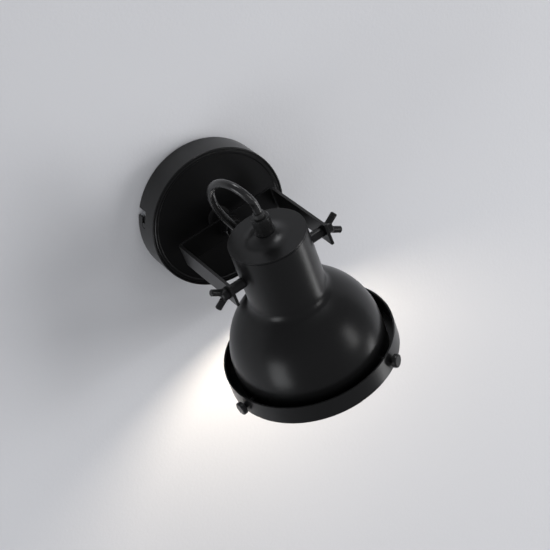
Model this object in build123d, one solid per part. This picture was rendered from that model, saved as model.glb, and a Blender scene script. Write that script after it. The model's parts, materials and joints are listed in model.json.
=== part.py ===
"""Pivoting spotlight wall light, as an assembly of separate solids.

Frame, in millimetres: X along the pivot axis of the head, +Z up, -Y out of the wall. The wall is the plane
y = 0 and the origin is the centre of the canopy's back rim. The head is shown tilted down, as it is used.

Pieces near the wall are drawn with Z as the depth out from the wall and turned by wall_frame. Pieces of the
head are drawn with the pivot at the origin and the mouth towards -Z, and placed by head_frame.
"""
from build123d import *

from math import atan2, cos, degrees, pi, radians, sin, sqrt, tan
import os

# ---- canopy, called the rose --------------------------------------------------------------------------
rose_radius = 50.0
rose_depth = 22.0
rose_wall = 1.5
rose_edge_round = 0.8
rose_land = 1.1            # flat ring at the very edge of the front
rose_groove = 0.7          # width of the fine groove inside it
rose_groove_depth = 0.6
rose_ridge = 2.6           # width of the raised ridge inside the groove
rose_ridge_bevel = 0.6     # slope each side of the ridge
rose_face_drop = 0.7       # the middle of the front lies this far behind the ridge

# ---- bayonet that holds the rose on its bar -----------------------------------------------------------
slot_entry_angle = 150.3   # from +X, seen from the room
slot_turn = 9.0            # how far the rose turns to lock
slot_width = 4.5
slot_entry_width = 5.1
slot_entry_depth = 10.0
peg_radius = 1.9
peg_head_radius = 3.2
peg_head = 1.0

# ---- mounting bar -------------------------------------------------------------------------------------
bar_sheet = 1.5
bar_width = 20.0
bar_tab_width = 12.0
bar_tab_clearance = 0.6    # between a tab's corners and the rose's wall
bar_tab_height = 13.0
bar_bend = 1.2             # inner radius of the folds
screw_circle = 60.0        # wall screws, hole to hole
screw_hole_radius = 2.25
cable_hole_radius = 6.0
earth_screw_place = 17.0
terminal_place = 16.8
terminal_size = (14.5, 17.0, 11.0)
terminal_poles = 2
terminal_bore = 1.6
terminal_screw_radius = 1.9
terminal_screw_sunk = 0.5  # screws lie this far below the block's top
terminal_corner = 1.5
screw_slot = (0.8, 1.2)    # width and depth of a driver's slot
earth_screw_radius = 2.0
earth_head_radius = 4.0
earth_head_height = 2.4
earth_sheet = 0.8          # tag for a push-on connector
earth_blade = (3.2, 8.0)
earth_blade_reach = 8.6    # from the screw to the standing blade's far face
lead_radius = 0.9
lead_gap = 0.1             # between the two leads where they run side by side
lead_grip = 5.5            # length of a lead inside the terminal block
lead_rise = 1.5            # height of the leads' first turn over their bores
lead_bends = (2.0, 1.2)    # radii of the two turns, at the leads' middle

# ---- hollow stem --------------------------------------------------------------------------------------
tube_radius = 5.0          # M10 hollow tube
tube_bore = 3.5
nut_across_flats = 14.0
nut_height = 5.0
friction_washer = 1.0
washer_radius = 8.0
stem_tail = 1.5            # tube left over below its nut
sleeve_radius = 6.0
standoff = 14.0            # rose's rim to the back of the bracket
lock_washer = 0.8
lock_washer_radius = 7.5
turned_edge = 0.4          # broken edge of turned pieces

# ---- bracket ------------------------------------------------------------------------------------------
bracket_width = 77.0
bracket_strip = 16.0
bracket_sheet = 2.0
bracket_bend = 0.8         # inner radius of the two bends
pivot_reach = 67.0         # back of the bracket to the pivot axis
arm_beyond_pivot = 8.0

# ---- cable and glands ---------------------------------------------------------------------------------
cable_radius = 2.75
cable_grip = 1.0           # length of cable inside each bush's mouth
gland_radius = 6.2
gland_edge = 0.6
gland_roof = 2.0           # thickness of a gland round its bush
base_gland_height = 6.0
head_gland_height = 12.5
bush_radius = 3.8
bush_flange = 1.0          # flange of a bush, trapped under the gland's roof
bush_rim = 0.5             # bevel of a bush's mouth
base_bush_proud = 2.5
head_bush_proud = 3.5
cable_lead_in = 6.0        # straight part of the route above the head bush

# ---- head ---------------------------------------------------------------------------------------------
head_tilt = 5.5            # mouth turned this far towards the wall from straight down
shade_sheet = 1.2
neck_radius = 26.5
neck_blend = 8.0           # fillet between neck and dome
dome_radius = 52.5
dome_centre = 74.0         # pivot to the centre of the dome's sphere
cap_top = 22.0             # pivot to the flat rim of the rear cap
cap_sheet = 1.5
cap_spigot = 6.5
cap_seam = 0.4             # bevel that shows as a seam between cap and neck
cap_flat_radius = 17.0     # where the rim's flat ends and the boss begins to rise
boss_radius = 7.2
boss_height = 4.0
mouth_depth = 91.0         # pivot to the front of the trim ring
ring_gap = 5.9             # air between the shade's skirt and the band
ring_height = 14.9
ring_sheet = 1.2
ring_edge_round = 0.8
ring_lip = 6.9             # reach of the inward lip, from the band's inner face
ring_screw_places = (56.0, 173.0, 293.0)
ring_screw_height = 6.3    # from the front of the trim ring
ring_screw_shank = 1.8
ring_screw_head = 4.7
ring_screw_head_height = 3.4
ring_screw_neck = 1.5      # bare shank between band and head
ring_screw_crown = 1.0

# ---- pivot hardware -----------------------------------------------------------------------------------
stud_radius = 2.0
spacer_radius = 3.6
stud_nut_flats = 7.0
stud_nut_height = 3.2
stud_tail = 1.0            # stud left over inside its nut
wing_hub_radius = 4.2
wing_hub_height = 5.0
wing_rod_radius = 2.3
wing_edge = 0.6            # bevel of hub and prongs
wing_spread = 33.0         # half angle between the two prongs
wing_length = 12.6         # from the arm's face, along a prong
wing_stud_proud = 0.6      # stud's end beyond the hub

# ---- lamp ---------------------------------------------------------------------------------------------
head_washer_radius = 6.4
head_washer = 1.5
holder_radius = 13.5
holder_neck_radius = 8.5
holder_neck = 4.0
holder_cone = 5.0
holder_length = 41.0
holder_wall = 5.4
holder_floor = 9.0
holder_edge = 1.0          # bevel at the body's foot
holder_ribs = 16           # grip grooves round the foot
holder_groove = 1.2        # side of the square that cuts a groove
holder_groove_rise = 2.0   # foot of the body to the grooves
shell_wall = 0.5           # threaded metal shell in the holder
shell_rise = 3.0           # foot of the holder to the shell
contact_radius = 3.0
contact_height = 2.5
bulb_cap_radius = 6.8
bulb_cap_length = 19.0
bulb_tip_radius = 2.4
bulb_tip = 1.6
bulb_roll_pitch = 2.8      # rolled thread of the bulb's cap
bulb_roll_depth = 0.5
bulb_rolls = 5
bulb_crown = 1.2           # bevel where the cap's crown meets its thread
bulb_radius = 22.5
bulb_glass = 0.9
bulb_neck_blend = 16.0
bulb_reach = 55.5          # end of the bulb's cap to the middle of its globe

# ---- clearances ---------------------------------------------------------------------------------------
seat_gap = 0.05                # round a screwed or pushed-in piece
running_gap = 0.08             # round a piece that turns in its hole
face_gap = 0.1             # between flat faces that turn on each other

# ---- places that follow from the sizes above ----------------------------------------------------------
rose_inside = rose_depth - rose_wall - rose_face_drop
rose_face = rose_depth - rose_face_drop
bracket_back = rose_depth + standoff
bracket_front = bracket_back + bracket_sheet
base_gland_foot = bracket_front + lock_washer
base_gland_top = base_gland_foot + base_gland_height
base_mouth = base_gland_top + base_bush_proud
pivot_depth = bracket_back + pivot_reach
arm_outer = bracket_width / 2
arm_inner = arm_outer - bracket_sheet
boss_top = cap_top + boss_height
head_gland_top = boss_top + head_gland_height
head_mouth = head_gland_top + head_bush_proud
bar_angle = slot_entry_angle + slot_turn
peg_depth = slot_entry_depth - slot_width / 2
shade_foot = mouth_depth - ring_sheet
ring_inside = dome_radius + ring_gap
ring_radius = ring_inside + ring_sheet
neck_inside = neck_radius - shade_sheet

wall_frame = Rot(X=90)
head_frame = Pos(0, -pivot_depth, 0) * Rot(X=head_tilt)
pivot_frame = Pos(0, -pivot_depth, 0)
UP = (Align.CENTER, Align.CENTER, Align.MIN)
ALONG = Rot(Y=90)          # turns a Z cylinder to lie along +X


def turned(corners, rounds=()):
    """Solid turned about Z from (radius, height) corners; rounds holds (corner, radius) pairs."""
    outline = make_face(Polyline(*corners, close=True))
    for corner, radius in rounds:
        outline = fillet(outline.vertices().sort_by_distance(corner)[0], radius)
    return revolve(Plane.XZ * outline, Axis.Z)


def ring(outer, inner, foot, top):
    """Flat ring about Z from height foot to height top."""
    return Pos(0, 0, foot) * (Cylinder(outer, top - foot, align=UP) - Cylinder(inner, top - foot, align=UP))


def hex_nut(flats, bore, foot, height):
    """Hexagon nut about Z, its corners turned down as on a real nut."""
    prism = extrude(RegularPolygon(flats / 2, 6, major_radius=False), height)
    corner = flats / sqrt(3)
    chamfer_height = (corner - flats / 2) / 2
    blank = turned([(0, 0), (flats / 2, 0), (corner, chamfer_height), (corner, height - chamfer_height),
                    (flats / 2, height), (0, height)])
    return Pos(0, 0, foot) * ((prism & blank) - Cylinder(bore, height, align=UP))


def tube(points, radii, section):
    """Round bar along straight runs joined by tangent arcs of the given radii."""
    path = FilletPolyline(*points, radius=radii)
    return sweep(Plane(path @ 0, z_dir=path % 0) * Circle(section), path=path)


# ---- pieces that stay on the wall ---------------------------------------------------------------------
def make_rose_cover():
    """Pressed cup with a stepped front edge and two bayonet slots."""
    rim_in = rose_radius - rose_wall
    groove_out = rose_radius - rose_land
    groove_in = groove_out - rose_groove
    ridge_in = groove_in - rose_ridge
    groove_foot = rose_depth - rose_groove_depth
    hole = tube_radius + running_gap
    cup = turned(
        [(hole, rose_inside), (rim_in - rose_wall, rose_inside), (rim_in, rose_inside - rose_wall),
         (rim_in, 0), (rose_radius, 0), (rose_radius, rose_depth), (groove_out, rose_depth),
         (groove_out, groove_foot), (groove_in, groove_foot), (groove_in - rose_ridge_bevel, rose_depth),
         (ridge_in + rose_ridge_bevel, rose_depth), (ridge_in, rose_face), (hole, rose_face)],
        [((rose_radius, rose_depth), rose_edge_round)])
    for side in (0, 180):
        cup -= Rot(Z=side) * bayonet_slot()
    return cup


def bayonet_slot():
    """Cutter of one L-shaped slot: in from the back rim, then round to a half-round end."""
    reach = 4 * rose_wall
    entry = Rot(Z=slot_entry_angle) * Pos(rose_radius, 0, 0) * Box(
        reach, slot_entry_width, slot_entry_depth, align=UP)
    end = Rot(Z=bar_angle) * Pos(rose_radius, 0, peg_depth) * ALONG * Cylinder(slot_width / 2, reach)
    half_turn = slot_turn / 2
    leg_length = 2 * rose_radius * sin(radians(half_turn))
    leg = Pos(rose_radius, 0, peg_depth) * Box(reach, leg_length, slot_width)
    return entry + Rot(Z=slot_entry_angle + half_turn) * leg + end


def tab_face():
    """Distance from the middle to the outer face of a mounting tab."""
    return sqrt((rose_radius - rose_wall - bar_tab_clearance) ** 2 - (bar_tab_width / 2) ** 2)


def make_mounting_bar():
    """Strip on the wall with a folded tab at each end and holes for screws and cable."""
    reach = tab_face()
    flat_end = reach - 2 * (bar_sheet + bar_bend)
    section = make_face(Polyline(
        (-reach, 0), (reach, 0), (reach, bar_tab_height), (reach - bar_sheet, bar_tab_height),
        (reach - bar_sheet, bar_sheet), (-reach + bar_sheet, bar_sheet),
        (-reach + bar_sheet, bar_tab_height), (-reach, bar_tab_height), close=True))
    for side in (-1, 1):
        outer = section.vertices().sort_by_distance((side * reach, 0))[0]
        section = fillet(outer, bar_bend + bar_sheet)
        inner = section.vertices().sort_by_distance((side * (reach - bar_sheet), bar_sheet))[0]
        section = fillet(inner, bar_bend)
    bar = extrude(Plane.XZ * section, bar_tab_width / 2, both=True)
    bar += Box(2 * flat_end, bar_width, bar_sheet, align=UP)
    through = 4 * bar_sheet
    bar -= Cylinder(cable_hole_radius, through)
    for side in (-1, 1):
        bar -= Pos(side * screw_circle / 2, 0, 0) * Cylinder(screw_hole_radius, through)
        bar -= Pos(side * reach, 0, peg_depth) * ALONG * Cylinder(peg_radius + seat_gap, through)
    bar -= Pos(-earth_screw_place, 0, 0) * Cylinder(earth_screw_radius + seat_gap, through)
    return Rot(Z=bar_angle) * bar


def make_bayonet_pegs():
    """Two riveted pegs, one through each tab and its slot, flush with the rose."""
    inner = tab_face() - bar_sheet
    length = rose_radius - face_gap - inner
    peg = Pos(inner, 0, 0) * ALONG * Cylinder(peg_radius, length, align=UP)
    peg += Pos(inner - peg_head, 0, 0) * ALONG * Cylinder(peg_head_radius, peg_head, align=UP)
    return [Rot(Z=bar_angle + side) * Pos(0, 0, peg_depth) * peg for side in (0, 180)]


def make_terminal_block():
    """Two-pole connector standing on the bar, open at both ends of each pole."""
    length, width, height = terminal_size
    block = Box(length, width, height, align=UP)
    block = chamfer(block.edges().filter_by(Axis.Z), terminal_corner)
    pitch = width / terminal_poles
    for pole in range(terminal_poles):
        across = (pole - (terminal_poles - 1) / 2) * pitch
        block -= Pos(0, across, height / 2) * ALONG * Cylinder(terminal_bore, 2 * length)
        for side in (-1, 1):
            well = Cylinder(terminal_screw_radius + seat_gap, height, align=UP)
            block -= Pos(side * length / 4, across, height / 2) * well
    return Rot(Z=bar_angle) * Pos(terminal_place, 0, bar_sheet) * block


def make_terminal_clamps():
    """Slotted clamp screws, two to a pole, standing above each wire bore."""
    length, width, height = terminal_size
    foot = height / 2 + lead_radius + seat_gap
    head = height - foot - terminal_screw_sunk
    screw = Cylinder(terminal_screw_radius, head, align=UP)
    screw -= Pos(0, 0, head) * Box(4 * terminal_screw_radius, screw_slot[0], 2 * screw_slot[1])
    pitch = width / terminal_poles
    places = [(side * length / 4, (pole - (terminal_poles - 1) / 2) * pitch)
              for pole in range(terminal_poles) for side in (-1, 1)]
    return [Rot(Z=bar_angle) * Pos(terminal_place + x, y, bar_sheet + foot) * screw for x, y in places]


def lead_offset():
    """Distance from the stem's axis to each of the two leads in it."""
    return lead_radius + lead_gap / 2


def make_inner_leads():
    """Two leads, from the cable's end in the base bush through the stem to the terminal block."""
    length, width, height = terminal_size
    grip_end = terminal_place - length / 2 + lead_grip
    level = bar_sheet + height / 2
    pitch = width / terminal_poles
    fan_out = grip_end - 2 * lead_grip + lead_radius
    leads = []
    for side in (-1, 1):
        start = (0, side * lead_offset(), base_mouth - cable_grip)
        bottom = (0, side * lead_offset(), level + lead_rise)
        entry = (fan_out, side * pitch / 2, level)
        end = (grip_end, side * pitch / 2, level)
        leads.append(Rot(Z=bar_angle) * tube([start, bottom, entry, end], lead_bends, lead_radius))
    return leads


def make_earth_screw():
    """Cross-slotted pan-head screw in the bar."""
    foot = bar_sheet + earth_sheet
    top = foot + earth_head_height
    shoulder = top - earth_head_height / 2
    screw = turned([(0, 0), (earth_screw_radius, 0), (earth_screw_radius, foot), (earth_head_radius, foot),
                    (earth_head_radius, shoulder), (earth_head_radius / 2, top), (0, top)])
    slot = Box(earth_head_radius, screw_slot[0], 2 * screw_slot[1])
    screw -= Pos(0, 0, top) * (slot + Rot(Z=90) * slot)
    return Rot(Z=bar_angle) * Pos(-earth_screw_place, 0, 0) * screw


def make_earth_tag():
    """Ring tag under the earth screw, its blade bent up for a push-on connector."""
    width, height = earth_blade
    tag = Pos(0, 0, bar_sheet) * Cylinder(earth_head_radius, earth_sheet, align=UP)
    tag += Pos(0, earth_blade_reach / 2, bar_sheet) * Box(width, earth_blade_reach, earth_sheet, align=UP)
    tag += Pos(0, earth_blade_reach - earth_sheet / 2, bar_sheet) * Box(width, earth_sheet, height, align=UP)
    tag -= Cylinder(earth_screw_radius + seat_gap, 4 * bar_sheet, align=UP)
    return Rot(Z=bar_angle) * Pos(-earth_screw_place, 0, 0) * tag


def make_stem_washer_inner():
    """Slippery washer between the rose and the stem's nut."""
    return ring(washer_radius, tube_radius + running_gap, rose_inside - friction_washer, rose_inside)


def make_stem_washer_outer():
    """Slippery washer between the rose and the sleeve."""
    return ring(washer_radius, tube_radius + running_gap, rose_face, rose_face + friction_washer)


# ---- pieces that swivel with the bracket --------------------------------------------------------------
def nut_foot():
    """Depth of the stem nut's lower face."""
    return rose_inside - friction_washer - face_gap - nut_height


def make_stem_tube():
    """Hollow tube through rose, sleeve and bracket, up into the base gland."""
    foot = nut_foot() - stem_tail
    top = base_gland_top - gland_roof - bush_flange - seat_gap
    edge = turned_edge
    return turned([(tube_bore, foot), (tube_radius - edge, foot), (tube_radius, foot + edge),
                   (tube_radius, top - edge), (tube_radius - edge, top), (tube_bore, top)])


def make_stem_nut():
    """Nut that clamps the stem from inside the rose."""
    return hex_nut(nut_across_flats, tube_radius + seat_gap, nut_foot(), nut_height)


def make_stem_sleeve():
    """Turned sleeve that holds the bracket off the rose."""
    foot = rose_face + friction_washer + face_gap
    edge = turned_edge
    bore = tube_radius + seat_gap
    return turned([(bore, foot), (sleeve_radius - edge, foot), (sleeve_radius, foot + edge),
                   (sleeve_radius, bracket_back - edge), (sleeve_radius - edge, bracket_back),
                   (bore, bracket_back)])


def make_u_bracket():
    """Flat strip bent to a U, with square-cut ends, a stem hole and two pivot holes."""
    tip = pivot_depth + arm_beyond_pivot
    section = make_face(Polyline(
        (-arm_outer, bracket_back), (arm_outer, bracket_back), (arm_outer, tip), (arm_inner, tip),
        (arm_inner, bracket_front), (-arm_inner, bracket_front), (-arm_inner, tip), (-arm_outer, tip),
        close=True))
    for side in (-1, 1):
        outer = section.vertices().sort_by_distance((side * arm_outer, bracket_back))[0]
        section = fillet(outer, bracket_bend + bracket_sheet)
        inner = section.vertices().sort_by_distance((side * arm_inner, bracket_front))[0]
        section = fillet(inner, bracket_bend)
    strip = extrude(Plane.XZ * section, bracket_strip / 2, both=True)
    strip -= Pos(0, 0, bracket_back) * Cylinder(tube_radius + seat_gap, 4 * bracket_sheet)
    strip -= Pos(0, 0, pivot_depth) * ALONG * Cylinder(stud_radius + running_gap, 2 * bracket_width)
    return strip


def make_gland_washer():
    """Washer between the bracket and the base gland."""
    return ring(lock_washer_radius, tube_radius + seat_gap, bracket_front, base_gland_foot)


def gland(foot, height):
    """Round cable gland, bored for its tube up to the roof that its bush stands through."""
    top = foot + height
    bore = tube_radius + seat_gap
    hold = bush_radius + seat_gap
    roof = top - gland_roof
    return turned([(bore, foot), (gland_radius, foot), (gland_radius, top - gland_edge),
                   (gland_radius - gland_edge, top), (hold, top), (hold, roof), (bore, roof)])


def bush(top, proud):
    """Soft bush that grips the cable: a flange under the gland's roof and a collar proud of it."""
    roof = top - gland_roof
    mouth = top + proud
    bore = cable_radius + seat_gap
    return turned([(bore, roof - bush_flange), (tube_radius, roof - bush_flange), (tube_radius, roof),
                   (bush_radius, roof), (bush_radius, mouth - bush_rim), (bush_radius - bush_rim, mouth),
                   (bore, mouth)])


def cable_route():
    """Corner points of the cable, from inside the base bush, up and over to inside the head bush.

    The free points are measured from the mouth of the bush that they are nearer to.
    """
    swing = radians(head_tilt)
    base = Vector(0, -base_mouth, 0)
    behind = Vector(0, -sin(swing), cos(swing))
    head = Vector(0, -pivot_depth, 0) + behind * head_mouth
    from_base = [(0, -6.9, 0), (-1.0, -14.5, 3.0), (-3.6, -19.5, 9.6), (-7.2, -20.9, 18.4),
                 (-10.6, -19.6, 28.6), (-13.0, -20.4, 39.4)]
    from_head = [(-13.6, 35.0, 8.9), (-13.0, 26.6, 18.1), (-11.2, 16.4, 24.2), (-8.3, 6.7, 25.0),
                 (-4.9, 0.3, 20.2), (-2.0, -2.2, 12.8)]
    return [base - Vector(0, -cable_grip, 0), *[base + Vector(*step) for step in from_base],
            *[head + Vector(*step) for step in from_head], head + behind * cable_lead_in,
            head - behind * cable_grip]


def make_cable():
    """Round flex in a free loop between the two glands."""
    points = cable_route()
    runs = [b - a for a, b in zip(points, points[1:])]
    radii = []
    turns = []
    for before, after in zip(runs, runs[1:]):
        turn = before.get_angle(after)
        turns.append(turn)
        radii.append(0.45 * min(before.length, after.length) / tan(radians(turn / 2)))
    cable = tube(points, radii, cable_radius)
    length = sum(run.length for run in runs)
    length -= sum(r * (2 * tan(radians(t / 2)) - radians(t)) for r, t in zip(radii, turns))
    print("cable radii", [round(r, 1) for r in radii], "length", round(length, 1))
    section = pi * cable_radius ** 2
    print("cable volume over section times length", round(cable.volume / (section * length), 5))
    return cable


# ---- pieces of the head -------------------------------------------------------------------------------
def bell(neck, dome, blend, top, foot):
    """Solid bell about Z: a straight neck, a concave blend, a half sphere and a short straight skirt."""
    centre = -dome_centre
    blend_height = centre + sqrt((dome + blend) ** 2 - (neck + blend) ** 2)
    lean = degrees(atan2(blend_height - centre, neck + blend))
    with BuildSketch() as outline:
        with BuildLine():
            straight = Line((neck, top), (neck, blend_height))
            fillet_arc = CenterArc((neck + blend, blend_height), blend, 180, lean)
            sphere_arc = CenterArc((0, centre), dome, lean, -lean)
            skirt = Line(sphere_arc @ 1, (dome, foot))
            Line(skirt @ 1, (0, foot))
            Line((0, foot), (0, top))
            Line((0, top), straight @ 0)
        make_face()
    return revolve(Plane.XZ * outline.sketch, Axis.Z)


def make_shade():
    """Spun neck and dome in one sheet, with a hole each side for the pivot studs."""
    top = cap_top - cap_sheet
    outer = bell(neck_radius, dome_radius, neck_blend, top, -shade_foot)
    inner = bell(neck_inside, dome_radius - shade_sheet, neck_blend + shade_sheet, top, -shade_foot)
    return outer - inner - ALONG * Cylinder(stud_radius + seat_gap, 4 * neck_radius)


def make_rear_cap():
    """Spun cap: flat rim, trumpet-shaped boss and a spigot that pushes into the neck."""
    hole = tube_radius + seat_gap
    under = cap_top - cap_sheet
    spigot = neck_inside - seat_gap
    spigot_in = spigot - cap_sheet
    spigot_foot = under - cap_spigot
    rise = cap_flat_radius - boss_radius
    flare = (rise ** 2 + boss_height ** 2) / (2 * boss_height)
    flare_centre = cap_top + flare
    flare_under = flare + cap_sheet
    shelf = boss_top - cap_sheet
    shelf_radius = cap_flat_radius - sqrt(flare_under ** 2 - (flare_centre - shelf) ** 2)
    with BuildSketch() as outline:
        with BuildLine():
            Polyline((hole, shelf), (hole, boss_top), (boss_radius, boss_top))
            RadiusArc((boss_radius, boss_top), (cap_flat_radius, cap_top), -flare)
            Polyline((cap_flat_radius, cap_top), (neck_radius, cap_top), (neck_radius, under + cap_seam),
                     (neck_radius - cap_seam, under), (spigot, under), (spigot, spigot_foot),
                     (spigot_in, spigot_foot), (spigot_in, under), (cap_flat_radius, under))
            RadiusArc((cap_flat_radius, under), (shelf_radius, shelf), flare_under)
            Line((shelf_radius, shelf), (hole, shelf))
        make_face()
    return revolve(Plane.XZ * outline.sketch, Axis.Z)


def make_head_tube():
    """Hollow tube that joins head gland, rear cap and lamp holder."""
    top = head_gland_top - gland_roof - bush_flange - seat_gap
    return ring(tube_radius, tube_bore, holder_top() - holder_neck, top)


def make_head_leads():
    """Two leads, from the cable's end in the head bush to the floor of the lamp holder's neck."""
    foot = holder_top() - holder_neck
    lead = Pos(0, 0, foot) * Cylinder(lead_radius, head_mouth - cable_grip - foot, align=UP)
    return [Pos(side * lead_offset(), 0, 0) * lead for side in (-1, 1)]


def shelf_height():
    """Height of the flat under the rear cap's boss."""
    return boss_top - cap_sheet


def make_head_washer():
    """Washer between rear cap and nut."""
    return ring(head_washer_radius, tube_radius + seat_gap, shelf_height() - head_washer, shelf_height())


def make_head_nut():
    """Nut that clamps gland and rear cap together."""
    return hex_nut(nut_across_flats, tube_radius + seat_gap, holder_top(), nut_height)


def holder_top():
    """Height of the lamp holder's upper face, against the nut."""
    return shelf_height() - head_washer - nut_height


def make_lamp_holder():
    """Moulded lamp holder: threaded neck, cone and socket body with grip ribs round its foot."""
    top = holder_top()
    shoulder = top - holder_neck
    body_top = shoulder - holder_cone
    foot = top - holder_length
    socket = holder_radius - holder_wall
    floor = body_top - holder_floor
    holder = turned([(tube_radius + seat_gap, top), (holder_neck_radius, top), (holder_neck_radius, shoulder),
                     (holder_radius, body_top), (holder_radius, foot + holder_edge),
                     (holder_radius - holder_edge, foot), (socket, foot), (socket, floor),
                     (0, floor), (0, shoulder), (tube_radius + seat_gap, shoulder)])
    groove = Rot(Z=45) * Box(holder_groove, holder_groove, holder_length / 3, align=UP)
    for rib in range(holder_ribs):
        turn = rib * 360 / holder_ribs
        holder -= Rot(Z=turn) * Pos(holder_radius, 0, foot + holder_groove_rise) * groove
    return holder


def socket_floor():
    """Height of the bottom of the lamp holder's socket."""
    return holder_top() - holder_neck - holder_cone - holder_floor


def make_holder_shell():
    """Thin metal shell in the socket."""
    outer = holder_radius - holder_wall - seat_gap
    foot = holder_top() - holder_length + shell_rise
    return ring(outer, outer - shell_wall, foot, socket_floor())


def make_holder_contact():
    """Sprung centre contact at the bottom of the socket."""
    floor = socket_floor()
    return turned([(0, floor), (contact_radius, floor), (contact_radius, floor - contact_height / 2),
                   (bulb_tip_radius / 2, floor - contact_height), (0, floor - contact_height)])


def bulb_top():
    """Height of the tip of the bulb, against the centre contact."""
    return socket_floor() - contact_height


def bulb_cap_foot():
    """Height of the open end of the bulb's cap, where the glass begins."""
    return bulb_top() - bulb_tip - bulb_cap_length


def make_bulb_cap():
    """Metal cap of the bulb, with its centre tip and rolled thread."""
    tip = bulb_top()
    crown = tip - bulb_tip
    root = bulb_cap_radius - bulb_roll_depth
    thread = crown - bulb_crown - bulb_roll_depth
    profile = [(0, tip), (bulb_tip_radius, tip), (bulb_tip_radius + bulb_roll_depth, crown),
               (root - bulb_roll_depth, crown - bulb_crown)]
    for roll in range(bulb_rolls):
        high = thread - roll * bulb_roll_pitch
        profile += [(root, high), (bulb_cap_radius, high - bulb_roll_pitch / 2)]
    profile += [(bulb_neck(), bulb_cap_foot()), (0, bulb_cap_foot())]
    return turned(profile)


def bulb_neck():
    """Radius of the glass where it leaves the cap."""
    return bulb_cap_radius - bulb_roll_depth / 2


def make_bulb_globe():
    """Round glass of the bulb, blown thin, open where it joins its cap."""
    foot = bulb_cap_foot()
    middle = bulb_top() - bulb_reach

    def blown(neck, globe, blend):
        """Solid of the glass's outside or inside."""
        blend_height = middle + sqrt((globe + blend) ** 2 - (neck + blend) ** 2)
        lean = degrees(atan2(blend_height - middle, neck + blend))
        with BuildSketch() as outline:
            with BuildLine():
                Line((0, foot), (neck, foot))
                Line((neck, foot), (neck, blend_height))
                CenterArc((neck + blend, blend_height), blend, 180, lean)
                round_arc = CenterArc((0, middle), globe, lean, -lean - 90)
                Line(round_arc @ 1, (0, foot))
            make_face()
        return revolve(Plane.XZ * outline.sketch, Axis.Z)

    neck = bulb_neck()
    hollow = blown(neck - bulb_glass, bulb_radius - bulb_glass, bulb_neck_blend + bulb_glass)
    return blown(neck, bulb_radius, bulb_neck_blend) - hollow


def make_trim_ring():
    """Band round the dome's mouth, with an inward lip that the shade's skirt stands on."""
    inner = ring_inside
    edge = inner - ring_lip
    back = -mouth_depth + ring_height
    lip = -mouth_depth + ring_sheet
    band = turned([(inner, back), (ring_radius, back), (ring_radius, -mouth_depth),
                   (edge, -mouth_depth), (edge, lip), (inner, lip)],
                  [((ring_radius, -mouth_depth), ring_edge_round)])
    for place in ring_screw_places:
        band -= ring_screw_frame(place) * Cylinder(ring_screw_shank + seat_gap, 3 * ring_sheet)
    return band


def ring_screw_frame(place):
    """Frame on the band with Z pointing outward, at an angle measured from +X towards the room."""
    return Rot(Z=-place) * Pos(ring_radius, 0, -mouth_depth + ring_screw_height) * ALONG


def make_ring_screws():
    """Thumb screws with round heads, each bearing on the shade's skirt."""
    inner_end = dome_radius + seat_gap - ring_radius
    crown = ring_screw_neck + ring_screw_head_height
    slope = ring_screw_crown * (1 - sqrt(0.5))
    edge = turned_edge
    screw = turned([(0, inner_end), (ring_screw_shank, inner_end), (ring_screw_shank, ring_screw_neck),
                    (ring_screw_head - edge, ring_screw_neck), (ring_screw_head, ring_screw_neck + edge),
                    (ring_screw_head, crown - ring_screw_crown), (ring_screw_head - slope, crown - slope),
                    (ring_screw_head - ring_screw_crown, crown), (0, crown)])
    return [ring_screw_frame(place) * screw for place in ring_screw_places]


def on_both_sides(shape):
    """The shape drawn along +X, and its copy turned half round the head's axis to -X."""
    return [shape, Rot(Z=180) * shape]


def make_pivot_spacers():
    """Round spacers between neck and arms, hollowed to sit on the neck."""
    length = arm_inner - face_gap
    spacer = ALONG * ring(spacer_radius, stud_radius + seat_gap, 0, length)
    return on_both_sides(spacer - Cylinder(neck_radius, 4 * spacer_radius))


def stud_nut_face():
    """Distance from the head's axis to a stud nut's outer face, where its corners meet the neck's inside."""
    corner = stud_nut_flats / sqrt(3)
    return sqrt(neck_inside ** 2 - corner ** 2) - seat_gap


def make_pivot_studs():
    """Studs through neck, spacer, arm and wing nut."""
    inner = stud_nut_face() - stud_nut_height - stud_tail
    outer = arm_outer + face_gap + wing_hub_height + wing_stud_proud
    edge = turned_edge
    stud = ALONG * turned([(0, inner), (stud_radius - edge, inner), (stud_radius, inner + edge),
                           (stud_radius, outer - edge), (stud_radius - edge, outer), (0, outer)])
    return on_both_sides(stud)


def make_stud_nuts():
    """Nuts inside the neck."""
    foot = stud_nut_face() - stud_nut_height
    nut = hex_nut(stud_nut_flats, stud_radius + seat_gap, foot, stud_nut_height)
    return on_both_sides(ALONG * nut)


def make_wing_nut():
    """Wing nut on the +X arm: round hub and two round prongs that open outward in a V."""
    foot = arm_outer + face_gap
    hub = Pos(foot, 0, 0) * ALONG * Cylinder(wing_hub_radius, wing_hub_height, align=UP)
    hub = chamfer(hub.edges().filter_by(GeomType.CIRCLE).sort_by(Axis.X)[-1], wing_edge)
    for side in (-1, 1):
        prong = Cylinder(wing_rod_radius, wing_length, align=UP)
        prong = chamfer(prong.edges().filter_by(GeomType.CIRCLE).sort_by(Axis.Z)[-1], wing_edge)
        hub += Pos(arm_outer, 0, 0) * Rot(Y=90 + side * wing_spread) * prong
    hub -= Pos(foot, 0, 0) * Box(4 * wing_length, 4 * wing_length, 4 * wing_length,
                                 align=(Align.MAX, Align.CENTER, Align.CENTER))
    return hub - ALONG * Cylinder(stud_radius + running_gap, 4 * bracket_width)


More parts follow.
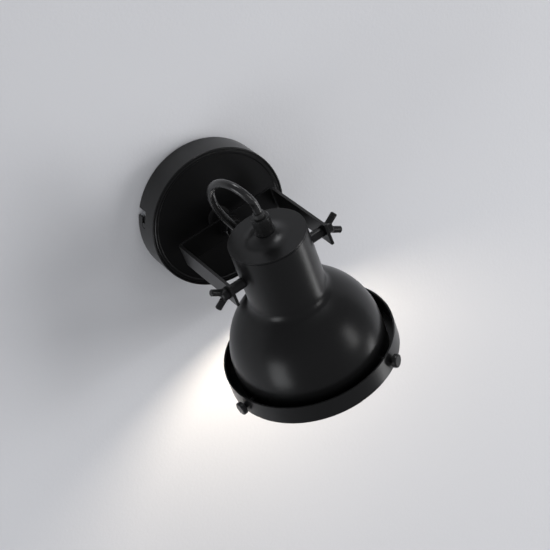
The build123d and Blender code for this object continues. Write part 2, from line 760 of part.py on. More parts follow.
# ---- the assembly -------------------------------------------------------------------------------------
def wall_pieces():
    """Pieces drawn with Z out from the wall."""
    return {
        "rose_cover": make_rose_cover(),
        "mounting_bar": make_mounting_bar(),
        "bayonet_pegs": make_bayonet_pegs(),
        "terminal_block": make_terminal_block(),
        "terminal_clamps": make_terminal_clamps(),
        "inner_leads": make_inner_leads(),
        "earth_screw": make_earth_screw(),
        "earth_tag": make_earth_tag(),
        "stem_washer_inner": make_stem_washer_inner(),
        "stem_washer_outer": make_stem_washer_outer(),
        "stem_tube": make_stem_tube(),
        "stem_nut": make_stem_nut(),
        "stem_sleeve": make_stem_sleeve(),
        "u_bracket": make_u_bracket(),
        "gland_washer": make_gland_washer(),
        "base_gland": gland(base_gland_foot, base_gland_height),
        "base_gland_bush": bush(base_gland_top, base_bush_proud),
    }


def head_pieces():
    """Pieces drawn with the pivot at the origin and the mouth towards -Z."""
    return {
        "shade": make_shade(),
        "rear_cap": make_rear_cap(),
        "head_gland": gland(boss_top, head_gland_height),
        "head_gland_bush": bush(head_gland_top, head_bush_proud),
        "head_tube": make_head_tube(),
        "head_leads": make_head_leads(),
        "head_washer": make_head_washer(),
        "head_nut": make_head_nut(),
        "lamp_holder": make_lamp_holder(),
        "holder_shell": make_holder_shell(),
        "holder_contact": make_holder_contact(),
        "bulb_cap": make_bulb_cap(),
        "bulb_globe": make_bulb_globe(),
        "trim_ring": make_trim_ring(),
        "ring_screws": make_ring_screws(),
        "pivot_spacers": make_pivot_spacers(),
        "pivot_studs": make_pivot_studs(),
        "stud_nuts": make_stud_nuts(),
    }


def placed(frame, shape):
    """The shape, or a compound of its separate solids, moved into the light's frame."""
    if isinstance(shape, list):
        return Compound(children=[frame * solid for solid in shape])
    return frame * shape


def main():
    """Build every piece and write it to parts/."""
    nodes = {name: placed(wall_frame, shape) for name, shape in wall_pieces().items()}
    nodes |= {name: placed(head_frame, shape) for name, shape in head_pieces().items()}
    wing_nut = make_wing_nut()
    nodes["wing_nut_right"] = pivot_frame * wing_nut
    nodes["wing_nut_left"] = pivot_frame * Rot(Z=180) * wing_nut
    nodes["cable"] = make_cable()
    os.makedirs("parts", exist_ok=True)
    for name, shape in nodes.items():
        export_step(shape, f"parts/{name}.step")


main()
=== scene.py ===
"""Pivoting spotlight wall light: finishes, flex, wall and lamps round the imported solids.

Metres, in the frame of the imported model: X along the head's pivot axis, +Z up, -Y out of the wall.
"""
from __future__ import annotations

import json
import logging
import math
from dataclasses import dataclass
from enum import Enum
from typing import Optional, Union

import bpy
import numpy as np
from mathutils import Matrix, Vector

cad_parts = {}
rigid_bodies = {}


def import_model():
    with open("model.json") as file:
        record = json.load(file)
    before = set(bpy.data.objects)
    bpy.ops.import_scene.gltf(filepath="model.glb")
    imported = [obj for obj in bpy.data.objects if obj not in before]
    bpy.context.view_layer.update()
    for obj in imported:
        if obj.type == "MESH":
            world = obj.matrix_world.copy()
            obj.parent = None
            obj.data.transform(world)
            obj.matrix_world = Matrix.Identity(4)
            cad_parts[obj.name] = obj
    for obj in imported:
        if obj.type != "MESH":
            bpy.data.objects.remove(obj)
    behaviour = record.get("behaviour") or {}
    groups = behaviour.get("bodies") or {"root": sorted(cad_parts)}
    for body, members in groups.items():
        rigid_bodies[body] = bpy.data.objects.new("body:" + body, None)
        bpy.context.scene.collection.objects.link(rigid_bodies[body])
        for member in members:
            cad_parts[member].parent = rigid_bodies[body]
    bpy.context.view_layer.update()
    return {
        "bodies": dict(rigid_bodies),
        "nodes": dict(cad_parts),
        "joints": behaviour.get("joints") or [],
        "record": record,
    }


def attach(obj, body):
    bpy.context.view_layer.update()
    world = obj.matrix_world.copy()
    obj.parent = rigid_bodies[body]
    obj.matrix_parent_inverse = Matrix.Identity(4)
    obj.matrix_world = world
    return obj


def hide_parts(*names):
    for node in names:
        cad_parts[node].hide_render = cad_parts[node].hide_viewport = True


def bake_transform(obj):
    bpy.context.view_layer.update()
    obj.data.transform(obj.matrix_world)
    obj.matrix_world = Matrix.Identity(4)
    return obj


LOG = logging.getLogger("wall_light")
MM = 0.001
Colour = tuple[float, float, float]
Point = tuple[float, float, float]

PIVOT: Point = (0.0, -0.103, 0.0)    # middle of the head's pivot axis
REST_TILT = 5.5                      # the head's lean towards the wall at rest, in degrees

# A colour Mix node's sockets by number, because its value and vector sockets have the same names.
MIX_FACTOR, MIX_FIRST, MIX_SECOND, MIX_RESULT = 0, 6, 7, 2


# ---- shared by several pieces --------------------------------------------------------------------------
def head_axis() -> Vector:
    """Direction of the head's axis at rest, from the pivot back through its gland."""
    lean = math.radians(REST_TILT)
    return Vector((0.0, -math.sin(lean), math.cos(lean)))


def direction(azimuth: float, elevation: float) -> Vector:
    """Direction (sin a cos e, -cos a cos e, sin e) from the light.

    Args:
        azimuth: degrees from straight out of the wall, to the right.
        elevation: degrees above the horizon.

    Returns:
        The direction, one long.
    """
    az, el = math.radians(azimuth), math.radians(elevation)
    return Vector((math.sin(az) * math.cos(el), -math.cos(az) * math.cos(el), math.sin(el)))


def add_object(name: str, data: bpy.types.ID) -> bpy.types.Object:
    """Put an object in the scene.

    Args:
        name: the object's name.
        data: its mesh, curve, lamp or camera.

    Returns:
        The object.
    """
    made = bpy.data.objects.new(name, data)
    bpy.context.scene.collection.objects.link(made)
    return made


# ---- shader kit ----------------------------------------------------------------------------------------
class Maths(Enum):
    """Operations of a Math node that the shaders use."""

    SUM = "ADD"
    PRODUCT = "MULTIPLY"
    LARGER = "MAXIMUM"
    ABOVE = "GREATER_THAN"


class Sock:
    """An output socket that Python's operators turn into Math nodes."""

    def __init__(self, nodes: NodeTree, out: bpy.types.NodeSocket) -> None:
        """Keep the socket and the tree that it belongs to."""
        self.nodes = nodes
        self.out = out

    def _math(self, operation: Maths, first: Value, second: Value) -> Sock:
        """Add one Math node.

        Args:
            operation: what it works out.
            first: first input.
            second: second input.

        Returns:
            The node's result.
        """
        return self.nodes.node("ShaderNodeMath", {"operation": operation.value}, {0: first, 1: second})

    def __add__(self, other: Value) -> Sock:
        """self + other."""
        return self._math(Maths.SUM, self, other)

    def __radd__(self, other: Value) -> Sock:
        """other + self."""
        return self._math(Maths.SUM, other, self)

    def __mul__(self, other: Value) -> Sock:
        """self * other."""
        return self._math(Maths.PRODUCT, self, other)

    def __rmul__(self, other: Value) -> Sock:
        """other * self."""
        return self._math(Maths.PRODUCT, other, self)

    def __gt__(self, other: Value) -> Sock:
        """1 where self is greater than other, else 0."""
        return self._math(Maths.ABOVE, self, other)

    def __or__(self, other: Value) -> Sock:
        """The larger of the two, so 1 where either of two masks is."""
        return self._math(Maths.LARGER, self, other)


Value = Union[float, Sock]


class NodeTree:
    """A node tree that is built up from nothing."""

    def __init__(self, tree: bpy.types.NodeTree) -> None:
        """Empty the tree and keep it."""
        tree.nodes.clear()
        self.tree = tree

    def node(self, kind: str, settings: Optional[dict] = None, sockets: Optional[dict] = None,
             output: Union[int, str] = 0) -> Sock:
        """Add a node of any type.

        Args:
            kind: Blender's type name of the node.
            settings: attributes, set first.
            sockets: values or links of the node's inputs, by name or number.
            output: name or number of the output wanted.

        Returns:
            The output socket.
        """
        node = self.tree.nodes.new(kind)
        for key, value in (settings or {}).items():
            setattr(node, key, value)
        for key, value in (sockets or {}).items():
            if isinstance(value, Sock):
                self.tree.links.new(value.out, node.inputs[key])
            else:
                node.inputs[key].default_value = value
        return Sock(self, node.outputs[output])

    def close(self, kind: str, surface: Sock) -> None:
        """Link the last shader to an output node.

        Args:
            kind: Blender's type name of the output node.
            surface: the shader.
        """
        output = self.tree.nodes.new(kind)
        self.tree.links.new(surface.out, output.inputs["Surface"])


class Shader(NodeTree):
    """One material and its node tree."""

    def __init__(self, name: str) -> None:
        """Make an empty material of that name."""
        self.material = bpy.data.materials.new(name)
        self.material.use_nodes = True
        super().__init__(self.material.node_tree)

    def place(self) -> Sock:
        """Object coordinates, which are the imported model's metres."""
        return self.node("ShaderNodeTexCoord", output="Object")

    def noise(self, scale: float, detail: float = 3.0, roughness: float = 0.5,
              vector: Optional[Sock] = None) -> Sock:
        """Noise in object coordinates.

        Args:
            scale: cells to a metre.
            detail: octaves.
            roughness: strength of the finer octaves.
            vector: other coordinates to read.

        Returns:
            A value about 0.5.
        """
        return self.node("ShaderNodeTexNoise", {"noise_dimensions": "3D"},
                         {"Vector": vector or self.place(), "Scale": scale, "Detail": detail,
                          "Roughness": roughness}, "Fac")

    def mix(self, factor: Value, first: Union[Colour, Sock], second: Union[Colour, Sock]) -> Sock:
        """Blend two colours.

        Args:
            factor: share of the second.
            first: colour at 0.
            second: colour at 1.

        Returns:
            The blended colour.
        """
        def rgba(colour: Union[Colour, Sock]) -> Union[tuple, Sock]:
            """The colour with its alpha."""
            return colour if isinstance(colour, Sock) else (*colour, 1.0)

        return self.node("ShaderNodeMix", {"data_type": "RGBA"},
                         {MIX_FACTOR: factor, MIX_FIRST: rgba(first), MIX_SECOND: rgba(second)}, MIX_RESULT)

    def bump(self, height: Value, depth: float, after: Optional[Sock] = None) -> Sock:
        """Normal bent by a height.

        Args:
            height: height from 0 to 1.
            depth: metres that 1 stands for.
            after: normal to start from.

        Returns:
            The normal.
        """
        sockets: dict = {"Distance": depth, "Height": height}
        if after is not None:
            sockets["Normal"] = after
        return self.node("ShaderNodeBump", None, sockets)

    def soft_edges(self, radius: float, samples: int = 4) -> Sock:
        """Normal that rounds sharp edges, so that they catch the light as a coated edge does.

        Args:
            radius: of the rounding, in metres.
            samples: rays that look for an edge.

        Returns:
            The normal.
        """
        return self.node("ShaderNodeBevel", {"samples": samples}, {"Radius": radius})

    def surface(self, **sockets: Union[Value, Colour, tuple]) -> bpy.types.Material:
        """Close the tree with a Principled surface.

        Args:
            sockets: its inputs by name, with _ for each space.

        Returns:
            The finished material.
        """
        named = {}
        for key, value in sockets.items():
            if isinstance(value, tuple) and len(value) == 3:
                value = (*value, 1.0)
            named[key.replace("_", " ")] = value
        return self.finished(self.node("ShaderNodeBsdfPrincipled", None, named))

    def finished(self, shader: Sock) -> bpy.types.Material:
        """Link a shader to the material's output and give the material."""
        self.close("ShaderNodeOutputMaterial", shader)
        return self.material


# ---- finishes ------------------------------------------------------------------------------------------
def scaled(colour: Colour, factor: float) -> Colour:
    """The colour with each part times the factor."""
    return tuple(factor * part for part in colour)


@dataclass(frozen=True)
class SatinCoat:
    """Black powder coat: a fine orange peel under a soft sheen.

    Attributes:
        name: the material's name.
        grey: base colour.
        sheen: roughness at its smoothest.
        spread: how far the roughness wanders.
        peel: depth of the orange peel, in metres.
        cells: peel cells to a metre.
        edge: radius of the rounding that the coat gives a sharp edge, in metres.
        wander_cells: cells to a metre of the roughness's wandering.
        grain_cells: grain cells to each peel cell.
        peel_share: the peel's share of the relief, of which the grain has the rest.
        specular: strength of what the coat mirrors.
        dark: factor of the base colour in the peel's hollows, where it paints shade.
        pale: factor of the base colour on the peel's tops, where it paints a sheen.
        pale_blue: the same, of its blue, for a bluish painted sheen.
    """

    name: str
    grey: float = 0.005
    sheen: float = 0.26
    spread: float = 0.07
    peel: float = 0.000012
    cells: float = 900.0
    edge: float = 0.00035
    wander_cells: float = 45.0
    grain_cells: float = 4.5
    peel_share: float = 0.7
    specular: float = 0.25
    dark: float = 0.8
    pale: float = 1.25
    pale_blue: float = 1.3

    def material(self) -> bpy.types.Material:
        """The finish as a material: peel and grain from fine noise, roughness from broad noise, painted shade
        in the peel's hollows and painted sheen on its tops.
        """
        s = Shader(self.name)
        broad = s.noise(self.wander_cells, 3.0)
        fine = s.noise(self.cells, 2.0, 0.6)
        grain = s.noise(self.cells * self.grain_cells, 1.0)
        # Painted shade: a darker colour in the peel's hollows. Painted sheen: a paler, bluer colour on its
        # tops.
        shaded_hollows = (self.grey * self.dark,) * 3
        sheened_tops = (self.grey * self.pale, self.grey * self.pale, self.grey * self.pale_blue)
        relief = fine * self.peel_share + grain * (1.0 - self.peel_share)
        return s.surface(Base_Color=s.mix(fine, shaded_hollows, sheened_tops), Roughness=self.sheen + broad * self.spread,
                         Specular_IOR_Level=self.specular,
                         Normal=s.bump(relief, self.peel, after=s.soft_edges(self.edge)))


@dataclass(frozen=True)
class Sheath:
    """Smooth black flex or rubber, with a faint drag grain.

    Attributes:
        name: the material's name.
        grey: base colour.
        roughness: middle roughness.
        spread: how far the roughness wanders.
        grain: depth of the grain, in metres.
        wander_cells: cells to a metre of the wandering.
        grain_cells: grain cells to a metre.
        dark: factor of the base colour where it is darkest.
        pale: factor of the base colour where it is palest.
    """

    name: str
    grey: float
    roughness: float
    spread: float = 0.1
    grain: float = 0.00002
    wander_cells: float = 120.0
    grain_cells: float = 2600.0
    dark: float = 0.7
    pale: float = 1.4

    def material(self) -> bpy.types.Material:
        """The finish as a material: colour and roughness from broad noise, grain from fine noise."""
        s = Shader(self.name)
        broad = s.noise(self.wander_cells, 3.0)
        fine = s.noise(self.grain_cells, 2.0)
        smoothest = self.roughness - self.spread / 2.0
        return s.surface(Base_Color=s.mix(broad, (self.grey * self.dark,) * 3, (self.grey * self.pale,) * 3),
                         Roughness=smoothest + broad * self.spread, Normal=s.bump(fine, self.grain))


@dataclass(frozen=True)
class PlatedMetal:
    """Bright metal with a fine brushed grain and a clouded tint.

    Attributes:
        name: the material's name.
        clear: colour where it is bright.
        clouded: colour where it is dull.
        roughness: lowest roughness.
        spread: how far the roughness rises where it is dull.
        cloud_cells: clouds to a metre.
        scratch_cells: scratches to a metre.
        stretch: how much closer the scratches lie along Z.
        scratch: depth of the scratches, in metres.
    """

    name: str
    clear: Colour
    clouded: Colour
    roughness: float = 0.28
    spread: float = 0.18
    cloud_cells: float = 160.0
    scratch_cells: float = 700.0
    stretch: float = 18.0
    scratch: float = 0.00001

    def material(self) -> bpy.types.Material:
        """The finish as a material: clouds from broad noise, scratches from stretched noise."""
        s = Shader(self.name)
        cloud = s.noise(self.cloud_cells, 4.0, 0.6)
        stretched = s.node("ShaderNodeMapping", None,
                           {"Vector": s.place(), "Scale": (1.0, 1.0, self.stretch)})
        scratches = s.noise(self.scratch_cells, 2.0, 0.5, stretched)
        return s.surface(Base_Color=s.mix(cloud, self.clear, self.clouded), Metallic=1.0,
                         Roughness=self.roughness + cloud * self.spread,
                         Normal=s.bump(scratches, self.scratch))


@dataclass(frozen=True)
class Moulding:
    """Moulded plastic with a fine spark-eroded grain.

    Attributes:
        name: the material's name.
        colour: base colour.
        roughness: lowest roughness.
        spread: how far the roughness wanders.
        grain: depth of the grain, in metres.
        wander_cells: cells to a metre of the wandering.
        grain_cells: grain cells to a metre.
        dark: factor of the base colour where it is darkest.
    """

    name: str
    colour: Colour
    roughness: float = 0.45
    spread: float = 0.1
    grain: float = 0.00001
    wander_cells: float = 90.0
    grain_cells: float = 3000.0
    dark: float = 0.85

    def material(self) -> bpy.types.Material:
        """The finish as a material: colour and roughness from broad noise, grain from fine noise."""
        s = Shader(self.name)
        broad = s.noise(self.wander_cells)
        fine = s.noise(self.grain_cells, 2.0)
        return s.surface(Base_Color=s.mix(broad, self.colour, scaled(self.colour, self.dark)),
                         Roughness=self.roughness + broad * self.spread, Normal=s.bump(fine, self.grain))


@dataclass(frozen=True)
class LeadPair:
    """Two leads of different colours, told apart by which side of the stem's axis they lie on.

    Attributes:
        name: the material's name.
        first: colour on the positive side.
        second: colour on the negative side.
        across: direction from the second lead to the first.
        roughness: lowest roughness.
        spread: how far the roughness wanders.
        wander_cells: cells to a metre of the wandering.
    """

    name: str
    first: Colour
    second: Colour
    across: Point
    roughness: float = 0.4
    spread: float = 0.1
    wander_cells: float = 300.0

    def material(self) -> bpy.types.Material:
        """The finish as a material: the colour changes where position times across is zero."""
        s = Shader(self.name)
        side = s.node("ShaderNodeVectorMath", {"operation": "DOT_PRODUCT"},
                      {0: s.place(), 1: self.across}, "Value")
        return s.surface(Base_Color=s.mix(side > 0.0, self.second, self.first),
                         Roughness=self.roughness + s.noise(self.wander_cells) * self.spread)


@dataclass(frozen=True)
class LitGlass:
    """Frosted glass with a lamp's glow in it.

    Attributes:
        name: the material's name.
        glass: base colour.
        glow: colour of the light.
        strength: its strength at the brightest place.
        dim: factor of the glow where the frosting is thickest.
        roughness: lowest roughness.
        spread: how far the roughness wanders.
        frost: depth of the etched grain, in metres.
        cloud_cells: clouds to a metre.
        frost_cells: grain cells to a metre.
    """

    name: str
    glass: Colour = (0.42, 0.40, 0.36)
    glow: Colour = (1.0, 0.86, 0.66)
    strength: float = 0.62
    dim: float = 0.86
    roughness: float = 0.35
    spread: float = 0.1
    frost: float = 0.00001
    cloud_cells: float = 60.0
    frost_cells: float = 4000.0

    def material(self) -> bpy.types.Material:
        """The finish as a material: etched grain over a glow that is a little uneven."""
        s = Shader(self.name)
        cloud = s.noise(self.cloud_cells, 3.0)
        etched = s.noise(self.frost_cells, 2.0)
        return s.surface(Base_Color=self.glass, Roughness=self.roughness + cloud * self.spread,
                         Emission_Color=s.mix(cloud, self.glow, scaled(self.glow, self.dim)),
                         Emission_Strength=self.strength, Normal=s.bump(etched, self.frost))


@dataclass(frozen=True)
class WallPaint:
    """Pale matt wall paint, seen through from behind so that the light's back can be looked at.

    Attributes:
        name: the material's name.
        colour: the paint.
        dark: factor of the colour where it is darkest.
        roughness: of the paint.
        nap: depth of the roller's texture, in metres.
        wander_cells: cells to a metre of the colour's wandering.
        nap_cells: cells to a metre of the roller's texture.
    """

    name: str
    colour: Colour = (0.60, 0.605, 0.63)
    dark: float = 0.97
    roughness: float = 0.75
    nap: float = 0.00012
    wander_cells: float = 4.0
    nap_cells: float = 420.0

    def material(self) -> bpy.types.Material:
        """The finish as a material: roller texture in front, clear from behind and to shadow rays."""
        s = Shader(self.name)
        roller = s.noise(self.nap_cells, 4.0, 0.6)
        broad = s.noise(self.wander_cells, 2.0)
        paint = s.node("ShaderNodeBsdfPrincipled", None,
                       {"Base Color": s.mix(broad, self.colour, scaled(self.colour, self.dark)),
                        "Roughness": self.roughness, "Normal": s.bump(roller, self.nap)})
        clear = s.node("ShaderNodeBsdfTransparent")
        back = s.node("ShaderNodeNewGeometry", output="Backfacing")
        unshaded = s.node("ShaderNodeLightPath", output="Is Shadow Ray")
        return s.finished(s.node("ShaderNodeMixShader", None, {0: back + unshaded, 1: paint, 2: clear}))


# ---- mesh kit ------------------------------------------------------------------------------------------
def sweep_grid(path: np.ndarray, radius: float, sides: int) -> np.ndarray:
    """Grid of a round tube: at each point a circle square to the path, carried along without twist.

    Args:
        path: points of the centre line, shaped (n, 3).
        radius: of the tube.
        sides: points to a circle.

    Returns:
        Points shaped (n, sides, 3).
    """
    along = np.gradient(path, axis=0)
    along /= np.linalg.norm(along, axis=1, keepdims=True)
    normals = np.empty_like(path)
    normal = np.cross(along[0], (0.0, 0.0, 1.0))
    for i, ahead in enumerate(along):
        normal = normal - ahead * (normal @ ahead)
        normal = normal / np.linalg.norm(normal)
        normals[i] = normal
    across = np.cross(along, normals)
    turn = np.linspace(0.0, 2.0 * math.pi, sides, endpoint=False)[None, :, None]
    circle = np.cos(turn) * normals[:, None, :] + np.sin(turn) * across[:, None, :]
    return path[:, None, :] + radius * circle


def tube_object(name: str, grid: np.ndarray) -> bpy.types.Object:
    """Make a closed tube: quads join each circle to the next, and one flat face closes each end.

    Args:
        name: the object's name.
        grid: points, shaped (circles, sides, 3).

    Returns:
        The object, smooth shaded but for its ends.
    """
    circles, sides = grid.shape[:2]
    circle, side = (a.ravel() for a in np.meshgrid(np.arange(circles - 1), np.arange(sides), indexing="ij"))
    here, beyond = circle * sides, (circle + 1) * sides
    beside = (side + 1) % sides
    quads = np.stack([here + side, here + beside, beyond + beside, beyond + side], axis=1)
    ends = [list(range(sides)), list(range(circles * sides - 1, (circles - 1) * sides - 1, -1))]
    mesh = bpy.data.meshes.new(name)
    mesh.from_pydata(grid.reshape(-1, 3).tolist(), [], quads.tolist() + ends)
    smooth = np.ones(len(mesh.polygons), bool)
    smooth[-len(ends):] = False
    mesh.polygons.foreach_set("use_smooth", smooth)
    mesh.update()
    return add_object(name, mesh)


# ---- the light -----------------------------------------------------------------------------------------
@dataclass
class Dressing:
    """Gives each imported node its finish.

    Attributes:
    """

    frame: dict

    def dress(self, finishes: dict[str, bpy.types.Material]) -> None:
        """Assign a material to every node by its slot in the record.

        Args:
            finishes: material of each slot.
        """
        for row in self.frame["record"]["subparts"]:
            node = self.frame["nodes"][row["node"]]
            node.data.materials.clear()
            node.data.materials.append(finishes[row["material_slot"]])
            LOG.info("%s takes %s", row["node"], row["material_slot"])


@dataclass
class Flex:
    """The round black flex in its loop between the two glands.

    Attributes:
        diameter: of the sheath.
        base_mouth: middle of the base bush's mouth.
        mouth_reach: pivot to the head bush's mouth.
        grip: length inside each bush.
        lead_in: straight length outside the head bush.
        from_base: corner points measured from the base bush's mouth, in millimetres.
        from_head: corner points measured from the head bush's mouth, in millimetres.
        steps: points of the smooth line to each corner point.
        sides: points to a circle.
    """

    diameter: float = 0.0055
    base_mouth: Point = (0.0, -0.0473, 0.0)
    mouth_reach: float = 0.042
    grip: float = 0.001
    lead_in: float = 0.006
    from_base: tuple[Point, ...] = ((0, -6.9, 0), (-1.0, -14.5, 3.0), (-3.6, -19.5, 9.6), (-7.2, -20.9, 18.4),
                                    (-10.6, -19.6, 28.6), (-13.0, -20.4, 39.4))
    from_head: tuple[Point, ...] = ((-13.6, 35.0, 8.9), (-13.0, 26.6, 18.1), (-11.2, 16.4, 24.2),
                                    (-8.3, 6.7, 25.0), (-4.9, 0.3, 20.2), (-2.0, -2.2, 12.8))
    steps: int = 12
    sides: int = 28

    def route(self) -> list[Vector]:
        """Corner points of the flex, from inside the base bush to inside the head bush."""
        behind = head_axis()
        base, head = Vector(self.base_mouth), Vector(PIVOT) + behind * self.mouth_reach
        return [base + Vector((0.0, self.grip, 0.0)), *[base + Vector(p) * MM for p in self.from_base],
                *[head + Vector(p) * MM for p in self.from_head], head + behind * self.lead_in,
                head - behind * self.grip]

    def centre_line(self) -> np.ndarray:
        """Points of the smooth NURBS line through the route, shaped (n, 3)."""
        points = self.route()
        curve = bpy.data.curves.new("flex_line", "CURVE")
        curve.dimensions = "3D"
        curve.resolution_u = self.steps
        spline = curve.splines.new("NURBS")
        spline.points.add(len(points) - 1)
        for control, point in zip(spline.points, points):
            control.co = (*point, 1.0)
        spline.order_u = 3
        spline.use_endpoint_u = True
        holder = add_object("flex_line", curve)
        bpy.context.view_layer.update()
        graph = bpy.context.evaluated_depsgraph_get()
        mesh = bpy.data.meshes.new_from_object(holder.evaluated_get(graph))
        line = np.array([v.co for v in mesh.vertices], float)
        bpy.data.objects.remove(holder)
        bpy.data.meshes.remove(mesh)
        return line

    def build(self, sheath: bpy.types.Material) -> None:
        """Args:
            sheath: its material.
        """
        line = self.centre_line()
        flex = tube_object("flex", sweep_grid(line, self.diameter / 2, self.sides))
        flex.data.materials.append(sheath)
        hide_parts("cable")
        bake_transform(flex)


@dataclass
class LitBulb:
    """The light that the bulb throws out of the shade's mouth on to the wall.

    Attributes:
        reach: pivot to the middle of the globe.
        radius: of the glowing ball, which sets how soft the pool's edge is.
        power: in watts.
        colour: of its light.
    """

    reach: float = 0.058
    radius: float = 0.016
    power: float = 1.22
    colour: Colour = (1.0, 0.88, 0.72)

    def build(self, frame: dict) -> None:
        """Put a lamp in the globe's middle; the globe, which stands for frosted glass, lets its light out.
        """
        data = bpy.data.lights.new("bulb_light", "POINT")
        data.shadow_soft_size = self.radius
        data.energy = self.power
        data.color = self.colour
        lamp = add_object("bulb_light", data)
        lamp.location = Vector(PIVOT) - head_axis() * self.reach
        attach(lamp, "head")
        frame["nodes"]["bulb_globe"].visible_shadow = False
        LOG.info("bulb_light %.2f W", self.power)


# ---- studio --------------------------------------------------------------------------------------------
@dataclass(frozen=True)
class SoftBox:
    """A square-cornered area lamp that faces the light.

    Attributes:
        name: the lamp's name.
        azimuth: where it stands, in degrees from straight out of the wall, to the right.
        elevation: its height above the horizon, in degrees.
        distance: from the camera's aim.
        width: of the panel.
        height: of the panel.
        power: in watts.
        colour: of its light.
        mirrored: whether glossy surfaces mirror it.
    """

    name: str
    azimuth: float
    elevation: float
    distance: float
    width: float
    height: float
    power: float
    colour: Colour
    mirrored: bool = True

    def build(self, aim: Vector) -> None:
        """Stand the lamp in its direction from the aim, turned to face it.

        Args:
            aim: point that the lamp faces.
        """
        toward = direction(self.azimuth, self.elevation)
        data = bpy.data.lights.new(self.name, "AREA")
        data.shape = "RECTANGLE"
        data.size = self.width
        data.size_y = self.height
        data.energy = self.power
        data.color = self.colour
        lamp = add_object(self.name, data)
        lamp.location = aim + toward * self.distance
        lamp.rotation_mode = "QUATERNION"
        lamp.rotation_quaternion = (-toward).to_track_quat("-Z", "Y")
        lamp.visible_glossy = self.mirrored


@dataclass
class Studio:
    """Wall, lamps, world and camera.

    Attributes:
        boxes: the soft boxes.
        azimuth: where the camera stands, in degrees from straight out of the wall, to the right.
        elevation: its height above the horizon, in degrees.
        roll: its turn about its own axis, in degrees.
        distance: camera to its aim.
        aim: point that the camera looks at.
        focal_pixels: focal length in pixels of the photograph's width.
        frame_pixels: the photograph's width.
        sensor: width of the camera's sensor, in millimetres.
        wall_half: half of the wall's width and height.
        wall_gap: wall to the light's back.
        sky: colour of the world.
        surroundings: brightness of the world, as a light.
        backdrop: brightness of the world, as it is seen.
    """

    boxes: tuple[SoftBox, ...]
    azimuth: float = -17.04
    elevation: float = 33.84
    roll: float = -23.38
    distance: float = 1.3
    aim: Point = (0.00842, -0.060, -0.03895)
    focal_pixels: float = 1921.0
    frame_pixels: float = 550.0
    sensor: float = 36.0
    wall_half: float = 3.0
    wall_gap: float = 0.0006
    sky: Colour = (0.84, 0.85, 0.90)
    surroundings: float = 0.13
    backdrop: float = 0.34

    def build(self) -> None:
        """Make the camera, the wall, the world and the lamps."""
        self.camera()
        self.wall()
        self.world()
        for box in self.boxes:
            box.build(Vector(self.aim))

    def camera(self) -> None:
        """Stand the camera where the photograph was taken from."""
        az, roll = math.radians(self.azimuth), math.radians(self.roll)
        back = direction(self.azimuth, self.elevation)
        level = Vector((math.cos(az), math.sin(az), 0.0))
        above = back.cross(level)
        right = level * math.cos(roll) + above * math.sin(roll)
        up = above * math.cos(roll) - level * math.sin(roll)
        data = bpy.data.cameras.new("camera")
        data.sensor_width = self.sensor
        data.lens = self.focal_pixels * self.sensor / self.frame_pixels
        camera = add_object("camera", data)
        turned = Matrix((right, up, back)).transposed().to_4x4()
        camera.matrix_world = Matrix.Translation(Vector(self.aim) + back * self.distance) @ turned
        bpy.context.scene.camera = camera

    def wall(self) -> None:
        """A painted wall just behind the light."""
        half, gap = self.wall_half, self.wall_gap
        corners = [(-half, gap, -half), (half, gap, -half), (half, gap, half), (-half, gap, half)]
        mesh = bpy.data.meshes.new("wall")
        mesh.from_pydata(corners, [], [(0, 1, 2, 3)])
        mesh.materials.append(WallPaint("wall_paint").material())
        wall = add_object("wall", mesh)

    def world(self) -> None:
        """Dim even surroundings that show paler to the eye and in gloss than the light that they give."""
        world = bpy.data.worlds.new("studio")
        bpy.context.scene.world = world
        world.use_nodes = True
        nodes = NodeTree(world.node_tree)
        seen = nodes.node("ShaderNodeLightPath", output="Is Camera Ray")
        for ray in ("Is Glossy Ray", "Is Transmission Ray"):
            seen = seen | nodes.node("ShaderNodeLightPath", output=ray)
        strength = self.surroundings + seen * (self.backdrop - self.surroundings)
        nodes.close("ShaderNodeOutputWorld", nodes.node(
            "ShaderNodeBackground", None, {"Color": (*self.sky, 1.0), "Strength": strength}))


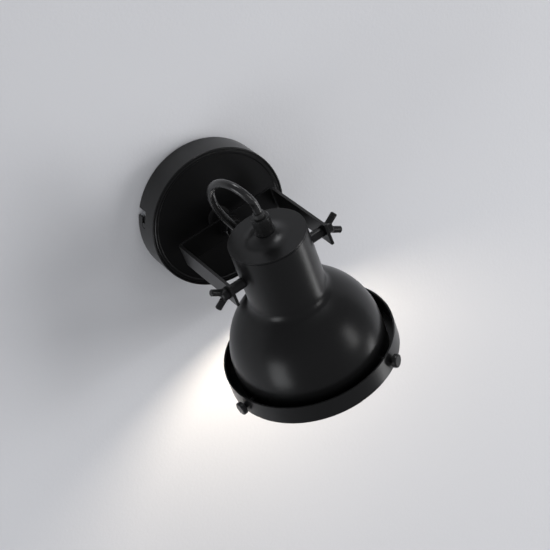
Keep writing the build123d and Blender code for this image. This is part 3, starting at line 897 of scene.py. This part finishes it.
def finishes() -> dict[str, bpy.types.Material]:
    """Material of each slot of the record."""
    return {
        "satin_black": SatinCoat("satin_black").material(),
        "black_turned": SatinCoat("black_turned", grey=0.008, sheen=0.24, peel=0.000006,
                                  cells=1500.0).material(),
        "bush_rubber": Sheath("bush_rubber", grey=0.010, roughness=0.5).material(),
        "cable_sheath": Sheath("cable_sheath", grey=0.008, roughness=0.24).material(),
        "zinc_steel": PlatedMetal("zinc_steel", clear=(0.66, 0.67, 0.68),
                                  clouded=(0.5, 0.52, 0.54)).material(),
        "brass": PlatedMetal("brass", clear=(0.80, 0.62, 0.30), clouded=(0.6, 0.44, 0.2)).material(),
        "bulb_metal": PlatedMetal("bulb_metal", clear=(0.78, 0.78, 0.79), clouded=(0.6, 0.6, 0.6),
                                  roughness=0.2).material(),
        "bulb_glass": LitGlass("bulb_glass").material(),
        "white_plastic": Moulding("white_plastic", (0.78, 0.77, 0.73)).material(),
        "holder_plastic": Moulding("holder_plastic", (0.02, 0.02, 0.02)).material(),
        "lead_insulation": LeadPair("lead_insulation", first=(0.16, 0.06, 0.03), second=(0.03, 0.10, 0.4),
                                    across=(-0.353, 0.0, 0.935)).material(),
        "nylon": Moulding("nylon", (0.012, 0.012, 0.012), roughness=0.5).material(),
    }


def soft_boxes() -> tuple[SoftBox, ...]:
    """The lamps: two wide ones light the wall, narrow ones draw the highlights, two light the back."""
    white = (1.0, 1.0, 1.0)
    cool = (0.98, 0.99, 1.0)
    return (
        SoftBox("key", azimuth=52.0, elevation=-16.0, distance=2.4, width=1.6, height=1.4, power=33.0,
                colour=(1.0, 0.995, 0.99), mirrored=False),
        SoftBox("wash", azimuth=-12.0, elevation=4.0, distance=3.2, width=3.4, height=2.6, power=40.0,
                colour=(0.985, 0.99, 1.0), mirrored=False),
        SoftBox("right_panel", azimuth=43.0, elevation=0.0, distance=1.8, width=0.4, height=0.8, power=4.6,
                colour=white),
        SoftBox("low_right_panel", azimuth=70.0, elevation=-40.0, distance=1.8, width=0.3, height=0.9,
                power=4.2, colour=white),
        SoftBox("left_panel", azimuth=-72.0, elevation=-8.0, distance=1.8, width=0.7, height=1.1, power=9.0,
                colour=(0.96, 0.98, 1.0)),
        SoftBox("rear_panel", azimuth=160.0, elevation=42.0, distance=1.8, width=1.1, height=1.1, power=12.0,
                colour=cool),
        SoftBox("rear_fill", azimuth=-130.0, elevation=5.0, distance=1.8, width=1.1, height=1.1, power=14.0,
                colour=cool),
        SoftBox("top", azimuth=80.0, elevation=62.0, distance=1.8, width=0.7, height=0.7, power=12.0,
                colour=(0.97, 0.98, 1.0)),
    )


def main() -> None:
    """Load the frame, dress it, add the flex and the bulb's light, and set the studio."""
    logging.basicConfig(level=logging.INFO, format="%(name)s %(message)s")
    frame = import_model()
    bpy.context.scene.view_settings.view_transform = "Standard"
    slots = finishes()
    Dressing(frame).dress(slots)
    Flex().build(slots["cable_sheath"])
    LitBulb().build(frame)
    Studio(soft_boxes()).build()


if __name__ == "__main__":
    main()
